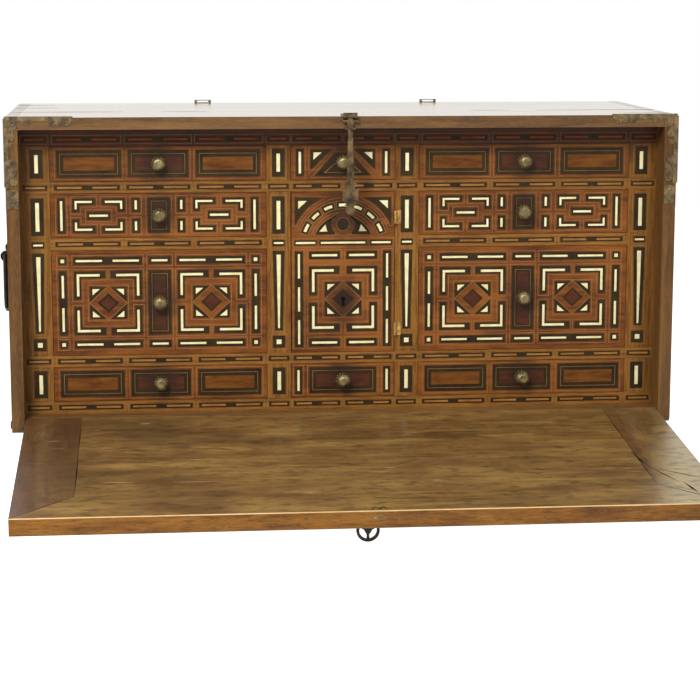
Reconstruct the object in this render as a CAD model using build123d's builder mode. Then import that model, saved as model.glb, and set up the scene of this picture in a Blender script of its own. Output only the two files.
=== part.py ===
from build123d import *
from math import cos, radians, sin, tan
import os

# Vargueno: a Spanish fall-front writing chest, open, with its inlaid nest of ten drawers and a door.
# Millimetres. +Z is up, the front faces -Y, and the origin is the centre of the base face.

# ---- Case: driving dimensions -------------------------------------------------------------------
case_width = 1000.0
case_depth = 410.0
case_height = 470.0
side_thick = 19.0
top_thick = 18.0
bottom_thick = 20.0
back_thick = 14.0
corner_round = 10.0      # worn lower front corner of each side
tail_count = 7           # dovetails across the depth of a side
pin_narrow = 13.0        # a pin on the outer surface of its board
dovetail_angle = 80.0    # slope of a tail, from the board's edge
plank_split_tail = 2     # the two top planks meet in the middle of this tail, counted from 0

# ---- Fall (writing flap) ------------------------------------------------------------------------
fall_thick = 25.0
fall_side_gap = 1.0      # fall to case side
fall_top_gap = 1.5       # closed fall to top plank
fall_heel_gap = 1.4      # fall to the front edge of the bottom board
fall_droop = 5.7         # degrees that the open fall hangs below level
pivot_inset = 9.0        # pivot pin to the inner face and to the heel of the fall
pivot_radius = 3.5
pivot_bite = 26.0        # length of each pin inside the fall
pivot_head_radius = 6.0
pivot_head_thick = 2.5
cleat_width = 83.0       # clamped end of the fall
fall_arris = 2.0
lock_pocket_depth = 16.0
lock_plate_width = 92.0
lock_plate_height = 112.0
lock_plate_thick = 2.0
lock_plate_margin = 9.0  # plate beyond the pocket
slot_width = 7.0
slot_height = 22.0

# ---- Nest: heights of rails and rows, from the floor up -----------------------------------------
recess = 48.0            # drawer faces behind the front of the case
base_rail = 19.0
row_low = 53.0
long_shelf = 17.0        # the two long shelves, above the lowest row and below the top row
row_tall = 160.0
middle_rail = 18.5
row_mid = 67.0
row_top = 53.5
centre_width = 159.0
pilaster_width = 36.0
bank_width = 323.0
pilaster_thick = 16.0
guide_thick = 8.0
top_rail_thick = 16.0

# ---- Drawers ------------------------------------------------------------------------------------
drawer_gap = 0.7
front_thick = 14.0
tray_side = 7.0
tray_bottom = 5.0
tray_back_gap = 6.0      # tray to the back board
tray_drop = 3.0          # tray sides below the top of the front
knob_head = 10.0         # radius over the corners of the head
knob_head_deep = 9.5
knob_flare = 3.2         # bevel behind the head
knob_bevel = 3.4         # bevel in front of it
knob_neck = 4.0
knob_shank = 4.0
knob_length = 17.5
knob_facets = 12
rosette_radius = 9.0
rosette_thick = 2.0
rosette_petals = 12

# ---- Door ---------------------------------------------------------------------------------------
door_thick = 14.0
door_gap = 0.7
door_swing_gap = 1.4     # at the closing edge, for the swing of its back corner
door_knuckle_radius = 3.0
door_knuckle_length = 20.0
door_pin_radius = 1.3
door_pin_stand = 3.4     # hinge pin in front of the door's face
door_leaf_thick = 1.2
door_leaf_width = 9.0
door_hinge_rise = (35.0, 206.0)  # hinge centres above the foot of the door
keyhole_radius = 3.6
keyhole_foot = 5.0
keyhole_drop = 11.0
door_lock_rise = 81.8    # keyhole above the foot of the tall row
door_lock_width = 58.0
door_lock_height = 48.0
door_lock_thick = 9.0
door_lock_wall = 1.5
door_bolt_height = 10.0
door_bolt_thick = 4.0
door_bolt_travel = 8.0
door_bolt_inset = 2.0    # retracted bolt behind the closing edge
bolt_clearance = 0.6
running_fit = 0.1        # pins in their bores

# ---- Hasp and its lock --------------------------------------------------------------------------
hasp_x = 6.0
hasp_pin_rise = 1.0      # hinge pin above the top
hasp_back_gap = 1.2      # hasp to the lock plate on the closed fall
hasp_thick = 5.0
hasp_barrel_radius = 4.5
hasp_barrel_length = 21.0
hasp_knuckle_length = 7.0
hasp_pin_radius = 1.8
hasp_joint_gap = 0.3
hasp_leaf_length = 38.0
hasp_leaf_thick = 2.0
staple_drop = 118.5      # centre of the staple below the hinge pin
staple_reach = 12.0
staple_height = 17.0
staple_thick = 4.0
staple_eye = 8.0         # height of the hole through the staple
staple_eye_long = 6.0
staple_end = 2.0         # iron beyond the hole
lock_bolt_thick = 3.5
lock_bolt_height = 6.0
lock_bolt_travel = 10.0
key_drop = 170.0         # key below the hinge pin, with the fall closed
key_shank_radius = 3.0
key_reach = 74.0         # key in front of the fall
key_bow_radius = 16.5
key_bow_band = 4.2
key_bow_thick = 3.2
key_clearance = 0.4

# ---- Iron mounts and carrying handles -----------------------------------------------------------
mount_thick = 1.6
mount_reach = 99.0       # along the top plank
mount_drop = 103.0       # down the side
mount_band = 5.5
mount_flange = 9.0       # round the corner, on the outer face of the side
edge_plate_height = 33.0
handle_height = 250.0    # pivot of the carrying handles above the base
handle_span = 116.0
handle_drop = 84.0
handle_bar = 4.0
handle_swell = 6.5
handle_stand = 12.0      # pivot out from the side
handle_corner = 20.0
eye_radius = 8.5
eye_thick = 7.0
eye_clearance = 0.4
plate_radius = 17.0
plate_thick = 1.6
back_staple_width = 27.0
back_staple_height = 5.0
back_staple_bar = 4.0
back_staple_x = (-200.0, 176.0)

# ---- Places worked out from the sizes above -----------------------------------------------------
front_y = -case_depth / 2
rear_y = case_depth / 2
side_x = case_width / 2
inner_x = side_x - side_thick
floor_z = bottom_thick
ceiling_z = case_height - top_thick
face_y = front_y + recess
nest_back_y = rear_y - back_thick
pivot_y = front_y + fall_thick - pivot_inset
pivot_z = floor_z - pivot_inset
fall_length = ceiling_z - fall_top_gap - pivot_z   # pivot to the free edge
fall_half = inner_x - fall_side_gap
bottom_front_y = front_y + fall_thick + fall_heel_gap
tail_pitch = case_depth / tail_count
plank_joint_y = front_y + (plank_split_tail + 0.5) * tail_pitch

low_z = floor_z + base_rail
lower_shelf_z = low_z + row_low
tall_z = lower_shelf_z + long_shelf
middle_shelf_z = tall_z + row_tall
mid_z = middle_shelf_z + middle_rail
upper_shelf_z = mid_z + row_mid
top_z = upper_shelf_z + long_shelf
top_rail_z = top_z + row_top

centre_x = centre_width / 2
bank_x = centre_x + pilaster_width
bank_end_x = bank_x + bank_width
hasp_y = front_y - lock_plate_thick - hasp_back_gap - hasp_thick / 2
hasp_z = case_height + hasp_pin_rise

os.makedirs("parts", exist_ok=True)


def save(label, *pieces):
    """Write one node: a single solid, or a group of separate ones."""
    node = pieces[0] if len(pieces) == 1 else Compound(children=list(pieces))
    node.label = label
    export_step(node, f"parts/{label}.step")


def board(x_range, y_range, z_range):
    """A plain board between three pairs of planes."""
    size = [high - low for low, high in (x_range, y_range, z_range)]
    middle = tuple((high + low) / 2 for low, high in (x_range, y_range, z_range))
    with BuildPart() as plain_board:
        with Locations(middle):
            Box(*size)
    return plain_board.part


# ---- Dovetailed case ----------------------------------------------------------------------------
def dovetail_pins(start_y, end_y, base_z, thick, narrow_up):
    """The pins of one board, in the local axes of the YZ plane, clipped to the board's own depth."""
    pin_wide = pin_narrow + 2 * thick / tan(radians(dovetail_angle))
    with BuildSketch(Plane.YZ) as pins:
        for count in range(tail_count + 1):
            with Locations((front_y + count * tail_pitch, base_z + thick / 2)):
                turn = 0 if narrow_up else 180
                Trapezoid(pin_wide, thick, dovetail_angle, rotation=turn)
        with Locations(((start_y + end_y) / 2, base_z + thick / 2)):
            Rectangle(end_y - start_y, thick, mode=Mode.INTERSECT)
    return pins.sketch_local


def pinned_board(start_y, end_y, base_z, thick, narrow_up):
    """A board between the sides, with dovetail pins that run out through both of them."""
    pins = dovetail_pins(start_y, end_y, base_z, thick, narrow_up)
    with BuildPart() as panel:
        with Locations((0, (start_y + end_y) / 2, base_z + thick / 2)):
            Box(2 * inner_x, end_y - start_y, thick)
        with BuildSketch(Plane.YZ):
            add(pins)
        extrude(amount=side_x, both=True)
    return panel.part


save("top_front_plank", pinned_board(front_y, plank_joint_y, ceiling_z, top_thick, True))
save("top_rear_plank", pinned_board(plank_joint_y, rear_y, ceiling_z, top_thick, True))
save("bottom_board", pinned_board(bottom_front_y, rear_y, 0, bottom_thick, False))


def case_side(direction):
    """A side board with its tails, the rebate for the back and the hole for the pivot pin."""
    outer = direction * side_x
    inner = direction * inner_x
    with BuildPart() as side:
        with BuildSketch(Plane.YZ.offset(min(outer, inner))):
            with Locations((0, case_height / 2)):
                Rectangle(case_depth, case_height)
            add(dovetail_pins(front_y, rear_y, ceiling_z, top_thick, True), mode=Mode.SUBTRACT)
            add(dovetail_pins(bottom_front_y, rear_y, 0, bottom_thick, False), mode=Mode.SUBTRACT)
        extrude(amount=side_thick)
        foot = side.edges().filter_by(Axis.X).sort_by_distance((0, front_y, 0))[0]
        fillet(foot, corner_round)
        with Locations(Location((direction * (side_x + inner_x) / 2, pivot_y, pivot_z), (0, 90, 0))):
            Cylinder(pivot_radius, side_thick, mode=Mode.SUBTRACT)
    return side.part


save("left_side", case_side(-1))
save("right_side", case_side(1))
save("back_board", board((-inner_x, inner_x), (nest_back_y, rear_y), (floor_z, ceiling_z)))

# ---- Nest: floor, shelves, rails, guides and pilasters ------------------------------------------
nest_y = (face_y, nest_back_y)
full_x = (-inner_x, inner_x)
save("nest_floor", board(full_x, nest_y, (floor_z, low_z)))
save(
    "long_shelves",
    board(full_x, nest_y, (lower_shelf_z, tall_z)),
    board(full_x, nest_y, (upper_shelf_z, top_z)),
)
save("top_rail", board(full_x, (face_y, face_y + top_rail_thick), (top_rail_z, ceiling_z)))
save(
    "middle_shelves",
    board((-bank_end_x, -bank_x), nest_y, (middle_shelf_z, mid_z)),
    board((bank_x, bank_end_x), nest_y, (middle_shelf_z, mid_z)),
)

storeys = ((low_z, lower_shelf_z), (tall_z, upper_shelf_z), (top_z, top_rail_z))
guide_y = (face_y + pilaster_thick, nest_back_y)
post_y = (face_y, face_y + pilaster_thick)
posts = []
guides = []
for direction in (-1, 1):
    for storey in storeys:
        for near, far in ((centre_x, bank_x), (bank_end_x, inner_x)):
            ends = sorted((direction * near, direction * far))
            posts.append(board(ends, post_y, storey))
        for near in (centre_x, bank_x - guide_thick, bank_end_x):
            ends = sorted((direction * near, direction * (near + guide_thick)))
            if direction > 0 or near > centre_x or storey[0] != tall_z:
                guides.append(board(ends, guide_y, storey))
save("pilasters", *posts)

# The guide left of the door has the mortise that the door bolt shoots into.
door_middle_z = (tall_z + upper_shelf_z) / 2
door_lock_z = tall_z + door_lock_rise
lock_y = face_y + door_thick + door_lock_thick / 2
with BuildPart() as bolt_guide:
    with Locations((-centre_x - guide_thick / 2, (guide_y[0] + guide_y[1]) / 2, door_middle_z)):
        Box(guide_thick, guide_y[1] - guide_y[0], upper_shelf_z - tall_z)
    with Locations((-centre_x - guide_thick / 2, lock_y, door_lock_z)):
        Box(
            guide_thick,
            door_bolt_thick + 2 * bolt_clearance,
            door_bolt_height + 2 * bolt_clearance,
            mode=Mode.SUBTRACT,
        )
save("drawer_guides", bolt_guide.part, *guides)


# ---- Drawers ------------------------------------------------------------------------------------
def drawer_front(middle_x, width, base_z, height):
    """The solid front of a drawer, with a square hole for the shank of its knob."""
    with BuildPart() as front:
        with Locations((middle_x, face_y + front_thick / 2, base_z + height / 2)):
            Box(width - 2 * drawer_gap, front_thick, height - 2 * drawer_gap)
        with Locations((middle_x, face_y + front_thick / 2, base_z + height / 2)):
            Box(knob_shank, front_thick, knob_shank, mode=Mode.SUBTRACT)
    return front.part


def drawer_tray(middle_x, width, base_z, height):
    """Bottom, two sides and back of a drawer, as four separate boards behind the front."""
    outer = width / 2 - drawer_gap
    inside = outer - tray_side
    start = face_y + front_thick
    end = nest_back_y - tray_back_gap
    bottom = (base_z + drawer_gap, base_z + drawer_gap + tray_bottom)
    wall = (bottom[1], base_z + height - drawer_gap - tray_drop)
    return (
        board((middle_x - outer, middle_x + outer), (start, end), bottom),
        board((middle_x - outer, middle_x - inside), (start, end), wall),
        board((middle_x + inside, middle_x + outer), (start, end), wall),
        board((middle_x - inside, middle_x + inside), (end - tray_side, end), wall),
    )


def drawer_knob(middle_x, middle_z):
    """An iron rosette with a faceted mushroom knob, its square shank through the drawer front."""
    face = Plane((middle_x, face_y, middle_z), x_dir=(1, 0, 0), z_dir=(0, -1, 0))
    with BuildPart() as knob:
        with BuildSketch(face.offset(knob_length - knob_head_deep)):
            RegularPolygon(knob_head, knob_facets)
        extrude(amount=knob_head_deep)
        chamfer(knob.faces().sort_by(Axis.Y)[-1].edges(), knob_flare)
        chamfer(knob.faces().sort_by(Axis.Y)[0].edges(), knob_bevel)
        chamfer(knob.faces().sort_by(Axis.Y)[0].edges(), knob_bevel * 0.35)
        with BuildSketch(face):
            RegularPolygon(knob_neck, knob_facets)
        extrude(amount=knob_length / 2)
        with BuildSketch(face):
            RegularPolygon(rosette_radius * 0.84, rosette_petals)
            with PolarLocations(rosette_radius * 0.78, rosette_petals):
                RegularPolygon(rosette_radius * 0.24, 6)
        extrude(amount=rosette_thick)
        with BuildSketch(face):
            Rectangle(knob_shank, knob_shank)
        extrude(amount=-front_thick)
    return knob.part


bank_middle = (bank_x + bank_end_x) / 2
drawers = []
for side_name, middle_x in (("left", -bank_middle), ("right", bank_middle)):
    drawers += [
        (f"{side_name}_top", middle_x, bank_width, top_z, row_top),
        (f"{side_name}_upper", middle_x, bank_width, mid_z, row_mid),
        (f"{side_name}_middle", middle_x, bank_width, tall_z, row_tall),
        (f"{side_name}_bottom", middle_x, bank_width, low_z, row_low),
    ]
drawers.append(("centre_top", 0, centre_width, top_z, row_top))
drawers.append(("centre_bottom", 0, centre_width, low_z, row_low))

for name, middle_x, width, base_z, height in drawers:
    save(f"{name}_drawer_front", drawer_front(middle_x, width, base_z, height))
    save(f"{name}_drawer_tray", *drawer_tray(middle_x, width, base_z, height))
    save(f"{name}_knob", drawer_knob(middle_x, base_z + height / 2))

# ---- Door ---------------------------------------------------------------------------------------
door_half = centre_x - door_gap
door_foot = tall_z + door_gap
door_head = upper_shelf_z - door_gap
door_pin_x = centre_x
door_pin_y = face_y - door_pin_stand
door_back_y = face_y + door_thick
front_plane = Plane((0, face_y, door_lock_z), x_dir=(1, 0, 0), z_dir=(0, -1, 0))
hinge_heights = [tall_z + rise for rise in door_hinge_rise]

door_close_x = -centre_x + door_swing_gap
with BuildPart() as door_panel:
    with Locations(((door_half + door_close_x) / 2, face_y + door_thick / 2, (door_foot + door_head) / 2)):
        Box(door_half - door_close_x, door_thick, door_head - door_foot)
    with BuildSketch(front_plane):
        Circle(keyhole_radius)
        with Locations((0, -keyhole_drop / 2)):
            Trapezoid(keyhole_foot, keyhole_drop, 80)
    extrude(amount=-door_thick, mode=Mode.SUBTRACT)
    for height in hinge_heights:
        with Locations((door_half, face_y + door_leaf_width / 2, height)):
            Box(2 * door_leaf_thick, door_leaf_width, door_knuckle_length, mode=Mode.SUBTRACT)
save("door_panel", door_panel.part)


# Each hinge has a middle knuckle on the door's leaf and two end knuckles on the post's leaf.
third = door_knuckle_length / 6
joint_half = third - hasp_joint_gap
leaf_reach = face_y + door_leaf_width
door_leaves = []
post_leaves = []
for height in hinge_heights:
    with BuildPart() as door_leaf:
        with Locations((door_half - door_leaf_thick / 2, face_y + door_leaf_width / 2, height)):
            Box(door_leaf_thick, door_leaf_width, door_knuckle_length)
        with Locations((door_half - door_leaf_thick / 2, (door_pin_y + face_y) / 2, height)):
            Box(door_leaf_thick, door_pin_stand, 2 * joint_half)
        with Locations((door_pin_x, door_pin_y, height)):
            Cylinder(door_knuckle_radius, 2 * joint_half)
            Cylinder(door_pin_radius + running_fit, door_knuckle_length, mode=Mode.SUBTRACT)
    door_leaves.append(door_leaf.part)
    with BuildPart() as post_leaf:
        with Locations((door_pin_x + door_leaf_width / 2, face_y - door_leaf_thick / 2, height)):
            Box(door_leaf_width, door_leaf_thick, door_knuckle_length)
        with Locations((door_pin_x, door_pin_y, height)):
            Cylinder(door_knuckle_radius, door_knuckle_length)
            Cylinder(door_knuckle_radius + 2 * hasp_joint_gap, 2 * third, mode=Mode.SUBTRACT)
            Cylinder(door_pin_radius, door_knuckle_length)
    post_leaves.append(post_leaf.part)
save("door_hinge_leaves", *door_leaves)
save("door_hinge_pins", *post_leaves)

with BuildPart() as door_lock:
    with Locations((0, lock_y, door_lock_z)):
        Box(door_lock_width, door_lock_thick, door_lock_height)
        Box(
            door_lock_width - 2 * door_lock_wall,
            door_lock_thick - 2 * door_lock_wall,
            door_lock_height - 2 * door_lock_wall,
            mode=Mode.SUBTRACT,
        )
    with Locations((-door_lock_width / 2, lock_y, door_lock_z)):
        Box(
            4 * door_lock_wall,
            door_bolt_thick + bolt_clearance,
            door_bolt_height + bolt_clearance,
            mode=Mode.SUBTRACT,
        )
    with BuildSketch(front_plane.offset(-door_thick)):
        Circle(keyhole_radius)
        with Locations((0, -keyhole_drop / 2)):
            Trapezoid(keyhole_foot, keyhole_drop, 80)
    extrude(amount=-2 * door_lock_wall, mode=Mode.SUBTRACT)
save("door_lock", door_lock.part)

bolt_tip_x = door_close_x + door_bolt_inset
with BuildPart() as door_bolt:
    bolt_tail_x = -door_lock_width / 4
    with Locations(((bolt_tip_x + bolt_tail_x) / 2, lock_y, door_lock_z)):
        Box(bolt_tail_x - bolt_tip_x, door_bolt_thick, door_bolt_height)
save("door_bolt", door_bolt.part)

# ---- Fall ---------------------------------------------------------------------------------------
# Local axes of the open fall: x along the case, -y from the pivot to the free edge, z out of the
# inner (writing) face. The pivot is the origin.
droop = radians(fall_droop)
fall_plane = Plane((0, pivot_y, pivot_z), x_dir=(1, 0, 0), z_dir=(0, -sin(droop), cos(droop)))
end_plane = Plane((0, pivot_y, pivot_z), x_dir=-fall_plane.y_dir, z_dir=(-1, 0, 0))
outer_w = pivot_inset - fall_thick


def fall_board():
    """The fall's section over its full width, round at the heel so that it turns close to the case."""
    with BuildPart() as whole:
        with BuildSketch(end_plane) as section:
            with Locations(((fall_length - pivot_inset) / 2, (pivot_inset + outer_w) / 2)):
                Rectangle(fall_length + pivot_inset, fall_thick)
            heel = section.vertices().group_by(Axis.X)[0].sort_by(Axis.Y)[-1]
            fillet(heel, pivot_inset * 0.98)
            fillet(section.vertices().group_by(Axis.X)[-1], fall_arris)
        extrude(amount=fall_half, both=True)
    return whole.part


whole_fall = fall_board()


lock_v = fall_length - (ceiling_z - fall_top_gap) + hasp_z
staple_v = lock_v - staple_drop
key_v = lock_v - key_drop
plate_v = (staple_v + key_v) / 2
pocket_half = lock_plate_width / 2 - lock_plate_margin
pocket_tall = lock_plate_height - 2 * lock_plate_margin

# The cleats clamp the ends of the fall and are mitred at the free edge.
with BuildSketch(fall_plane) as cleat_shapes:
    for direction in (-1, 1):
        with BuildLine():
            outer = direction * (fall_half + 1)
            inner = direction * (fall_half - cleat_width)
            Polyline(
                (outer, 2 * pivot_inset),
                (inner, 2 * pivot_inset),
                (inner, cleat_width - fall_length),
                (outer, -fall_length - 1),
                close=True,
            )
        make_face()
with BuildPart() as cleat_blocks:
    extrude(cleat_shapes.sketch, 2 * fall_thick, both=True)

with BuildPart() as pivot_bores:
    with BuildSketch(Plane.YZ):
        with Locations((pivot_y, pivot_z)):
            Circle(pivot_radius + running_fit)
    extrude(amount=side_x, both=True)
    with Locations((0, pivot_y, pivot_z)):
        Box(2 * (fall_half - pivot_bite), fall_thick, fall_thick, mode=Mode.SUBTRACT)

with BuildPart() as fall_panel:
    add(whole_fall)
    add(cleat_blocks.part, mode=Mode.SUBTRACT)
    with BuildSketch(fall_plane.offset(outer_w)):
        with Locations((hasp_x, -plate_v)):
            Rectangle(2 * pocket_half, pocket_tall)
    extrude(amount=lock_pocket_depth, mode=Mode.SUBTRACT)
save("fall_panel", fall_panel.part)

with BuildPart() as fall_cleats:
    add(whole_fall)
    add(cleat_blocks.part, mode=Mode.INTERSECT)
    add(pivot_bores.part, mode=Mode.SUBTRACT)
save("fall_cleats", *fall_cleats.part.solids())

with BuildPart() as fall_pivots:
    for direction in (-1, 1):
        with Locations(
            Location((direction * (side_x + fall_half - pivot_bite) / 2, pivot_y, pivot_z), (0, 90, 0))
        ):
            Cylinder(pivot_radius, side_x - fall_half + pivot_bite)
        with Locations(
            Location((direction * (side_x + pivot_head_thick / 2), pivot_y, pivot_z), (0, 90, 0))
        ):
            Cylinder(pivot_head_radius, pivot_head_thick)
save("fall_pivots", *fall_pivots.part.solids())

# ---- Lock of the fall: plate, bolt and key ------------------------------------------------------
plate_plane = fall_plane.offset(outer_w)
with BuildPart() as lock_plate:
    with BuildSketch(plate_plane):
        with Locations((hasp_x, -plate_v)):
            Rectangle(lock_plate_width, lock_plate_height)
        notch_x = lock_plate_width / 2
        notch_y = lock_plate_height / 2
        for corner_x in (-1, 1):
            for corner_y in (-1, 1):
                with Locations((hasp_x + corner_x * notch_x, -plate_v + corner_y * notch_y)):
                    Circle(lock_plate_margin, mode=Mode.SUBTRACT)
        with Locations((hasp_x, -staple_v)):
            Rectangle(slot_width, slot_height, mode=Mode.SUBTRACT)
        with Locations((hasp_x, -key_v)):
            Circle(key_shank_radius + key_clearance, mode=Mode.SUBTRACT)
    extrude(amount=-lock_plate_thick)
save("lock_plate", lock_plate.part)

# The bolt slides along X and passes through the eye of the hasp's staple.
eye_depth = staple_reach - hasp_back_gap - lock_plate_thick - staple_end - staple_eye_long / 2
bolt_z = outer_w + eye_depth
with BuildPart() as lock_bolt:
    finger_start = -pocket_half + 1.5
    finger_end = -staple_thick / 2 - 1.5
    with BuildSketch(fall_plane.offset(bolt_z)):
        with Locations((hasp_x + (finger_start + finger_end) / 2, -staple_v)):
            Rectangle(finger_end - finger_start, lock_bolt_height)
        arm_foot = key_v + key_shank_radius + 9.0
        with Locations((hasp_x + finger_start + 8.0, -(staple_v + arm_foot) / 2)):
            Rectangle(16.0, staple_v - arm_foot)
    extrude(amount=lock_bolt_thick / 2, both=True)
save("lock_bolt", lock_bolt.part)

bow_centre = key_reach - key_bow_radius
key_plane = Plane(
    fall_plane.from_local_coords(Vector(hasp_x, -key_v, outer_w)), x_dir=(1, 0, 0), z_dir=fall_plane.y_dir
)
with BuildPart() as key:
    with BuildSketch(key_plane):
        with Locations((0, bow_centre)):
            Circle(key_bow_radius)
            Circle(key_bow_radius - key_bow_band, mode=Mode.SUBTRACT)
        for turn in (90, 210, 330):
            arm = (key_bow_radius - key_bow_band) / 2
            with Locations((arm * cos(radians(turn)), bow_centre + arm * sin(radians(turn)))):
                Rectangle(2 * arm + 1, key_bow_band * 0.9, rotation=turn)
        with Locations((0, bow_centre)):
            RegularPolygon(key_bow_band * 1.3, 6)
    extrude(amount=key_bow_thick / 2, both=True)
    shank_out = bow_centre - key_bow_radius + key_bow_band / 2
    shank_in = lock_pocket_depth - 2.0
    with BuildSketch(fall_plane.offset(outer_w - shank_out)):
        with Locations((hasp_x, -key_v)):
            Circle(key_shank_radius)
    extrude(amount=shank_out + shank_in)
    with BuildSketch(fall_plane.offset(outer_w + 4.0)):
        with Locations((hasp_x, -key_v + key_shank_radius + 2.0)):
            Rectangle(3.0, 8.0)
    extrude(amount=shank_in - 4.0)
save("key", key.part)


# ---- Hasp and its hinge -------------------------------------------------------------------------
# Each length of the hasp: from and to (below the pin), width at each, extra thickness.
hasp_lengths = (
    (1.0, 6.2, hasp_knuckle_length, hasp_knuckle_length, 0.0),
    (6.2, 8.8, 24.0, 24.0, 0.8),
    (8.8, 17.5, 11.0, 8.0, 0.0),
    (17.5, 20.0, 16.0, 16.0, 1.2),
    (20.0, 98.5, 7.0, 10.5, 0.0),
    (98.5, 101.5, 18.5, 18.5, 1.2),
    (101.5, 107.5, 13.0, 13.0, 0.0),
    (107.5, 125.0, 23.5, 23.5, 1.5),
    (125.0, 127.5, 12.0, 12.0, 0.0),
    (127.5, 129.5, 17.5, 17.5, 1.0),
    (129.5, 131.5, 12.0, 12.0, 0.0),
    (131.5, 133.0, 16.5, 16.5, 1.0),
    (133.0, 137.0, 8.0, 14.0, 0.6),
    (137.0, 141.0, 14.0, 14.0, 1.2),
    (141.0, 145.5, 14.0, 7.0, 0.6),
)

hasp_plane = Plane((hasp_x, hasp_y, hasp_z), x_dir=(1, 0, 0), z_dir=(0, -1, 0))
with BuildPart() as hasp:
    for start, end, start_width, end_width, extra in hasp_lengths:
        with BuildSketch(hasp_plane):
            with BuildLine():
                Polyline(
                    (-start_width / 2, -start),
                    (start_width / 2, -start),
                    (end_width / 2, -end),
                    (-end_width / 2, -end),
                    close=True,
                )
            make_face()
        extrude(amount=(hasp_thick + extra) / 2, both=True)
    with Locations(Location((hasp_x, hasp_y, hasp_z), (0, 90, 0))):
        Cylinder(hasp_barrel_radius, hasp_knuckle_length)
        Cylinder(hasp_pin_radius + running_fit, hasp_knuckle_length, mode=Mode.SUBTRACT)
    staple_y = hasp_y + hasp_thick / 2
    with Locations((hasp_x, staple_y + staple_reach / 2, hasp_z - staple_drop)):
        Box(staple_thick, staple_reach, staple_height)
    eye_y = staple_y + staple_reach - staple_end - staple_eye_long / 2
    with Locations((hasp_x, eye_y, hasp_z - staple_drop)):
        Box(staple_thick, staple_eye_long, staple_eye, mode=Mode.SUBTRACT)
save("hasp", hasp.part)

with BuildPart() as hasp_hinge:
    leaf_start = hasp_y
    leaf_end = front_y + hasp_leaf_length
    with Locations((hasp_x, (leaf_start + leaf_end) / 2, case_height + hasp_leaf_thick / 2)):
        Box(hasp_barrel_length, leaf_end - leaf_start, hasp_leaf_thick)
    with Locations(Location((hasp_x, hasp_y, hasp_z), (0, 90, 0))):
        Cylinder(hasp_barrel_radius, hasp_barrel_length)
        Cylinder(hasp_barrel_radius * 1.6, hasp_knuckle_length + 2 * hasp_joint_gap, mode=Mode.SUBTRACT)
        Cylinder(hasp_pin_radius, hasp_barrel_length)
save("hasp_hinge", hasp_hinge.part)


# ---- Iron mounts on the front edges -------------------------------------------------------------
# Leaves cut along the inner edge of the strap: inward from the side, down from the top, radius.
mount_leaves = (
    (90.5, 6.5, 6.5),
    (79.0, 7.5, 5.0),
    (69.0, 7.0, 5.5),
    (34.5, 6.5, 5.0),
    (27.0, 6.0, 4.0),
    (12.4, 11.0, 7.5),
    (8.5, 20.5, 5.0),
    (10.0, 28.0, 5.5),
    (8.0, 40.0, 4.0),
    (9.5, 66.0, 6.0),
    (11.5, 76.0, 7.0),
    (10.5, 86.0, 6.5),
    (12.0, 94.0, 6.0),
)


def corner_mount():
    """A pierced iron strap that turns the corner from the top plank down the side's edge."""
    front_face = Plane((0, front_y, 0), x_dir=(1, 0, 0), z_dir=(0, -1, 0))
    with BuildPart() as mount:
        with BuildSketch(front_face):
            with Locations(((side_x - mount_reach / 2), case_height - mount_band / 2)):
                Rectangle(mount_reach, mount_band)
            with Locations(((side_x - mount_band / 2), case_height - mount_drop / 2)):
                Rectangle(mount_band, mount_drop)
            for inward, down, size in mount_leaves:
                with Locations(((side_x - inward), case_height - down)):
                    RegularPolygon(size, 7)
        extrude(amount=mount_thick)
        flange_y = front_y + (mount_flange - mount_thick) / 2
        with Locations(((side_x + mount_thick / 2), flange_y, case_height - mount_drop / 2)):
            Box(mount_thick, mount_flange + mount_thick, mount_drop - 2 * mount_thick)
        with Locations(((side_x - mount_reach / 2), front_y + 2.0, case_height + mount_thick / 2)):
            Box(mount_reach, 4.0 + 2 * mount_thick, mount_thick)
    return mount.part


def edge_plate(direction):
    """A small square iron plate on the side's edge, below the corner mount."""
    low = case_height - mount_drop - edge_plate_height + 3.0
    ends = sorted((direction * (inner_x + 0.5), direction * (side_x - mount_thick)))
    return board(ends, (front_y - mount_thick, front_y), (low, low + edge_plate_height - 5.0))


right_mount = corner_mount()
left_mount = mirror(right_mount, about=Plane.YZ)
save("corner_mounts", left_mount, right_mount, edge_plate(-1), edge_plate(1))


# ---- Carrying handles ---------------------------------------------------------------------------
def handle_eyes(direction):
    """Two plates with eyes that carry the pins of one handle."""
    pivot_x = direction * (side_x + handle_stand)
    eyes = []
    for end in (-1, 1):
        with BuildPart() as eye:
            with Locations(
                Location(
                    (direction * (side_x + plate_thick / 2), end * handle_span / 2, handle_height), (0, 90, 0)
                )
            ):
                Box(2 * plate_radius, 2 * plate_radius, plate_thick)
            with Locations(
                (direction * (side_x + handle_stand / 2), end * handle_span / 2, handle_height)
            ):
                Box(handle_stand, eye_thick, eye_radius * 1.2)
            with BuildSketch(Plane((pivot_x, end * handle_span / 2, handle_height), z_dir=(0, 1, 0))):
                RegularPolygon(eye_radius, 10)
                Circle(handle_bar + eye_clearance, mode=Mode.SUBTRACT)
            extrude(amount=eye_thick / 2, both=True)
            with Locations(Location((pivot_x, end * handle_span / 2, handle_height), (90, 0, 0))):
                Cylinder(handle_bar + eye_clearance, eye_thick * 2, mode=Mode.SUBTRACT)
        eyes.append(eye.part)
    return eyes


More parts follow.
